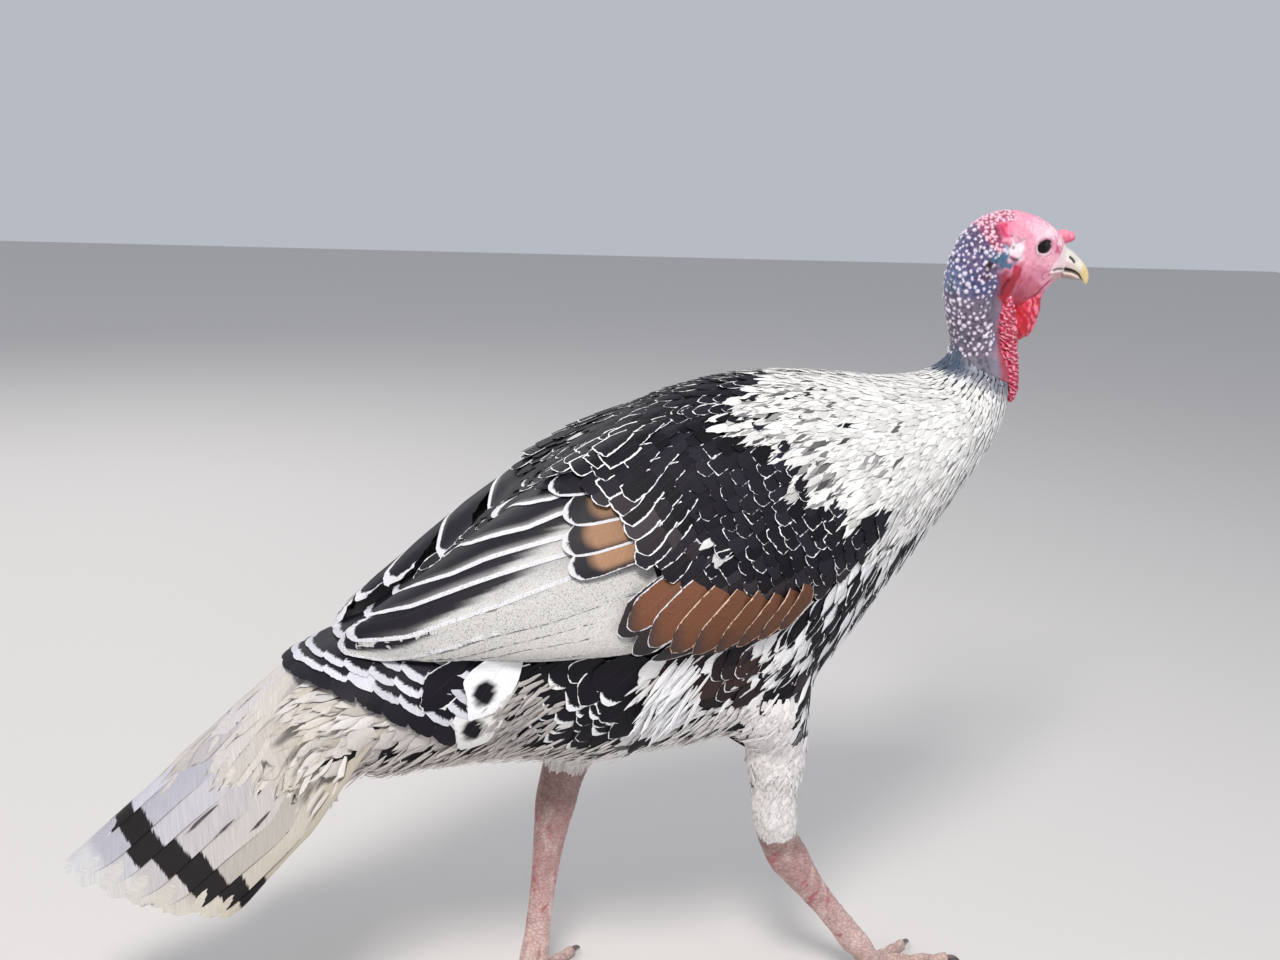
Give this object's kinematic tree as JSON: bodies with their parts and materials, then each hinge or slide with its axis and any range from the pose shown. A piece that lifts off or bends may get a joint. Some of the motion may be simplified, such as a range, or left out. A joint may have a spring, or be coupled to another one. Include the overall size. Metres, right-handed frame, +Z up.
{
  "type": "domestic turkey",
  "caption": "Young domestic turkey tom in mid stride, bare head held high, wings folded, tail half closed, feathers piebald black, white and copper.",
  "frame": {"origin": "on the floor, midway along the bird's overall length, on its median plane", "axes": "+X the way the bird walks, +Y to its left, +Z up from the floor"},
  "size_m": [0.9165, 0.2548, 0.7548],
  "materials": {
    "plumage_pale": "soft, matt vane with black and grey marks",
    "plumage_dark": "soft sheen, black and coppery vanes edged in white",
    "face_skin": "wrinkled bare skin, faintly moist",
    "neck_skin": "slate-blue bare skin with white beads",
    "red_flesh": "moist red folds",
    "horn": "satin horn",
    "eye": "wet, glossy",
    "leg_skin": "matt scales"
  },
  "bodies": {
    "root": {"bill_lower": "horn", "bill_upper": "horn", "caruncles_left": "red_flesh", "caruncles_right": "red_flesh", "claw_hind_left": "horn", "claw_hind_right": "horn", "claw_inner_left": "horn", "claw_inner_right": "horn", "claw_middle_left": "horn", "claw_middle_right": "horn", "claw_outer_left": "horn", "claw_outer_right": "horn", "eye_left": "eye", "eye_right": "eye", "foot_left": "leg_skin", "foot_right": "leg_skin", "head": "face_skin", "neck_bare": "neck_skin", "neck_feathered": "plumage_pale", "rump": "plumage_pale", "shank_left": "leg_skin", "shank_right": "leg_skin", "snood": "red_flesh", "tail": "plumage_pale", "thigh_left": "plumage_pale", "thigh_right": "plumage_pale", "trunk": "plumage_pale", "wattle_throat": "red_flesh", "wing_left": "plumage_dark", "wing_quills_left": "plumage_dark", "wing_quills_right": "plumage_dark", "wing_right": "plumage_dark"}
  },
  "joints": []
}
